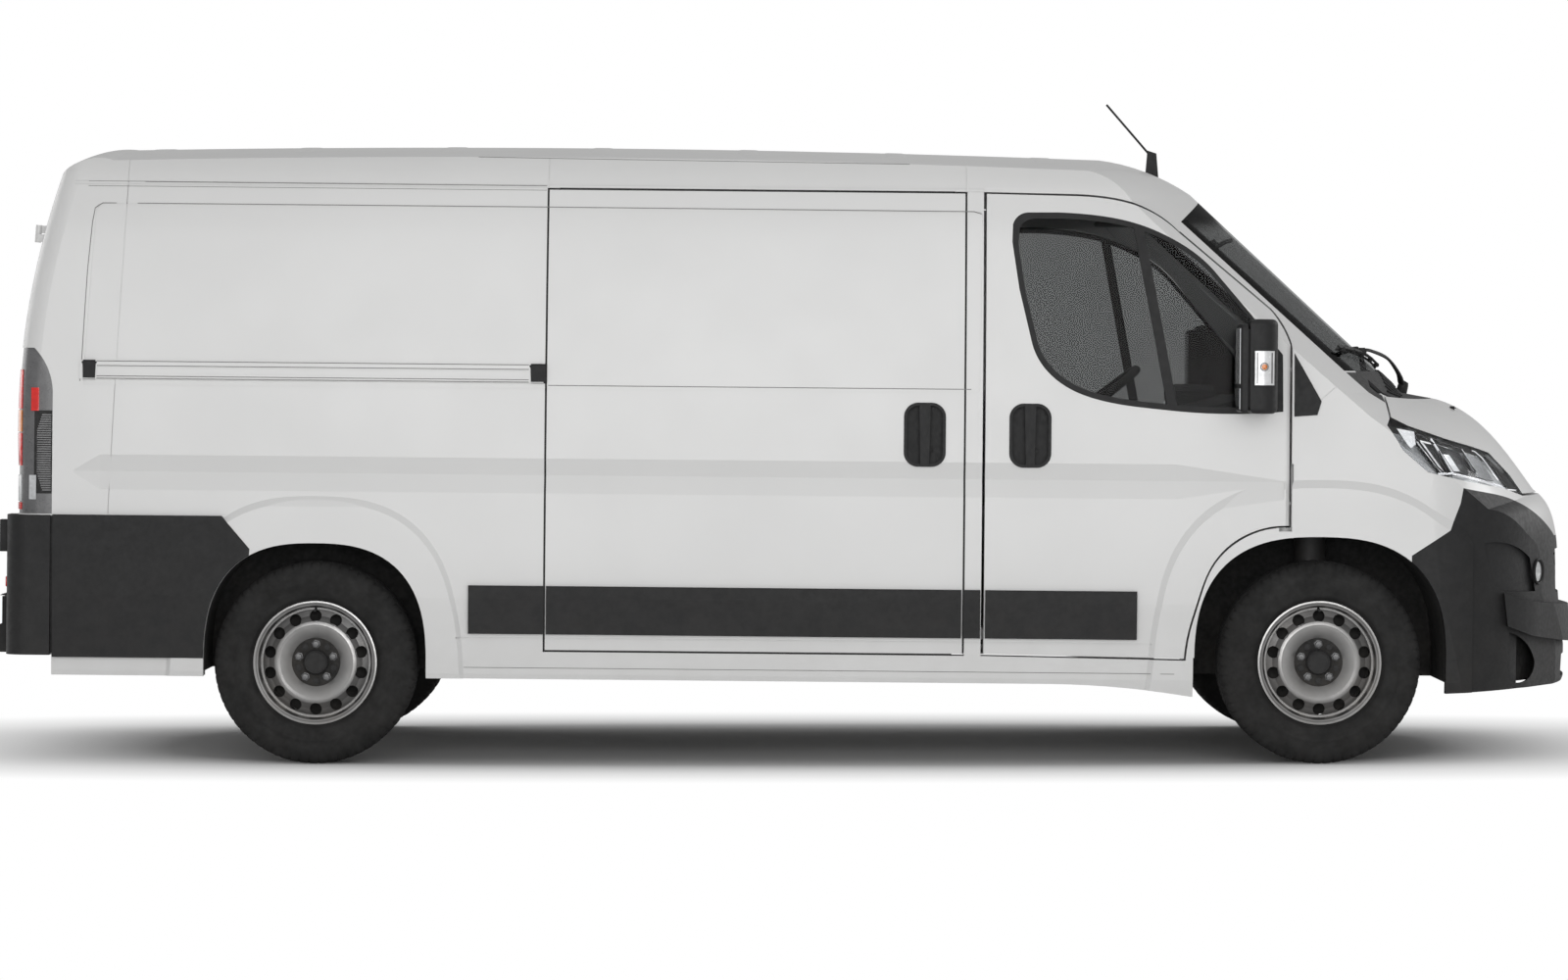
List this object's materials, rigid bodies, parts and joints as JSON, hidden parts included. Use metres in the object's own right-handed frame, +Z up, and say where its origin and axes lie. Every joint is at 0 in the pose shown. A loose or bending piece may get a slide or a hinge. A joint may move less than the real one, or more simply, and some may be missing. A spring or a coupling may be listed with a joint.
{
  "type": "panel van",
  "caption": "Mid-length low-roof panel van with hinged cab doors, twin rear doors, a side sliding door, opening bonnet, steered front wheels and four turning wheels.",
  "frame": {"origin": "on the ground under the centre of the overall length and width", "axes": "+X towards the van's front, +Y towards its left side, +Z up"},
  "size_m": [5.5742, 2.508, 2.3177],
  "materials": {
    "body_paint": "satin",
    "dark_plastic": "matte",
    "glass": "polished",
    "lamp_clear": "polished",
    "lamp_red": "gloss",
    "wheel_silver": "satin",
    "tyre": "matte",
    "chassis_black": "matte",
    "cast_iron": "rough",
    "steel": "brushed",
    "liner_black": "matte",
    "dash_plastic": "matte",
    "seat_fabric": "woven",
    "plate_white": "gloss"
  },
  "bodies": {
    "body": {"body_side_left": "body_paint", "body_side_right": "body_paint", "roof": "body_paint", "floor": "body_paint", "bulkhead": "body_paint", "front_wings": "body_paint", "scuttle": "dark_plastic", "windscreen": "glass", "nose_panel": "body_paint", "front_bumper": "dark_plastic", "grille": "dark_plastic", "headlamps": "lamp_clear", "front_plate": "plate_white", "antenna": "dark_plastic", "engine": "cast_iron", "radiator": "steel", "firewall": "body_paint", "dashboard": "dash_plastic", "seat_bases": "dash_plastic", "seat_cushions": "seat_fabric", "headrests": "seat_fabric", "chassis_frame": "chassis_black", "fuel_tank": "liner_black", "exhaust": "steel", "front_subframe": "chassis_black", "front_struts": "chassis_black", "rear_axle": "chassis_black", "leaf_springs": "chassis_black", "wheel_liners": "liner_black", "side_cladding": "dark_plastic", "sliding_door": "body_paint", "sliding_door_trim": "dark_plastic", "slide_track": "body_paint", "rear_hinges": "body_paint", "tail_lamps": "lamp_red", "rear_bumper": "dark_plastic"},
    "cab_door_left": {"cab_door_left": "body_paint", "door_glass_left": "glass", "door_trim_left": "dark_plastic"},
    "cab_door_right": {"cab_door_right": "body_paint", "door_glass_right": "glass", "door_trim_right": "dark_plastic"},
    "rear_door_left": {"rear_door_left": "body_paint"},
    "rear_door_right": {"rear_door_right": "body_paint"},
    "bonnet": {"bonnet": "body_paint"},
    "steering_wheel": {"steering_wheel": "dash_plastic"},
    "knuckle_left": {"knuckle_left": "cast_iron"},
    "knuckle_right": {"knuckle_right": "cast_iron"},
    "wheel_front_left": {"wheel_front_left": "wheel_silver", "tyre_front_left": "tyre"},
    "wheel_front_right": {"wheel_front_right": "wheel_silver", "tyre_front_right": "tyre"},
    "wheel_rear_left": {"wheel_rear_left": "wheel_silver", "tyre_rear_left": "tyre"},
    "wheel_rear_right": {"wheel_rear_right": "wheel_silver", "tyre_rear_right": "tyre"}
  },
  "joints": [
    {"name": "cab_door_left_hinge", "type": "hinge", "parent": "body", "child": "cab_door_left", "pos_m": [1.67052, 0.99422, 1.08488], "axis": [-0.0094, 0.0304, -0.9995], "range_deg": [0, 70]},
    {"name": "cab_door_right_hinge", "type": "hinge", "parent": "body", "child": "cab_door_right", "pos_m": [1.67052, -0.99422, 1.08488], "axis": [0.0094, 0.0304, 0.9995], "range_deg": [0, 70]},
    {"name": "rear_door_left_hinge", "type": "hinge", "parent": "body", "child": "rear_door_left", "pos_m": [-2.67871, 0.842, 1.22587], "axis": [-0.0765, 0, -0.9971], "range_deg": [0, 96]},
    {"name": "rear_door_right_hinge", "type": "hinge", "parent": "body", "child": "rear_door_right", "pos_m": [-2.67871, -0.842, 1.22587], "axis": [0.0765, 0, 0.9971], "range_deg": [0, 96]},
    {"name": "bonnet_hinge", "type": "hinge", "parent": "body", "child": "bonnet", "pos_m": [2.01115, 0, 1.25667], "axis": [0, -1, 0], "range_deg": [0, 50]},
    {"name": "steer_left", "type": "hinge", "parent": "body", "child": "knuckle_left", "pos_m": [1.7875, 0.83, 0.348], "axis": [0, 0, 1], "range_deg": [-35, 35]},
    {"name": "steer_right", "type": "hinge", "parent": "body", "child": "knuckle_right", "pos_m": [1.7875, -0.83, 0.348], "axis": [0, 0, 1], "range_deg": [-35, 35]},
    {"name": "spin_front_left", "type": "hinge", "parent": "knuckle_left", "child": "wheel_front_left", "pos_m": [1.7875, 0.905, 0.348], "axis": [0, 1, 0], "continuous": true},
    {"name": "spin_front_right", "type": "hinge", "parent": "knuckle_right", "child": "wheel_front_right", "pos_m": [1.7875, -0.905, 0.348], "axis": [0, 1, 0], "continuous": true},
    {"name": "spin_rear_left", "type": "hinge", "parent": "body", "child": "wheel_rear_left", "pos_m": [-1.6625, 0.895, 0.348], "axis": [0, 1, 0], "continuous": true},
    {"name": "spin_rear_right", "type": "hinge", "parent": "body", "child": "wheel_rear_right", "pos_m": [-1.6625, -0.895, 0.348], "axis": [0, 1, 0], "continuous": true},
    {"name": "steering_wheel_turn", "type": "hinge", "parent": "body", "child": "steering_wheel", "pos_m": [1.13534, 0.48, 1.17493], "axis": [-0.6124, 0, 0.7906], "range_deg": [-500, 500]}
  ],
  "couplings": [
    {"joint": "steer_right", "follows": "steer_left", "ratio": 1},
    {"joint": "steering_wheel_turn", "follows": "steer_left", "ratio": 14}
  ]
}
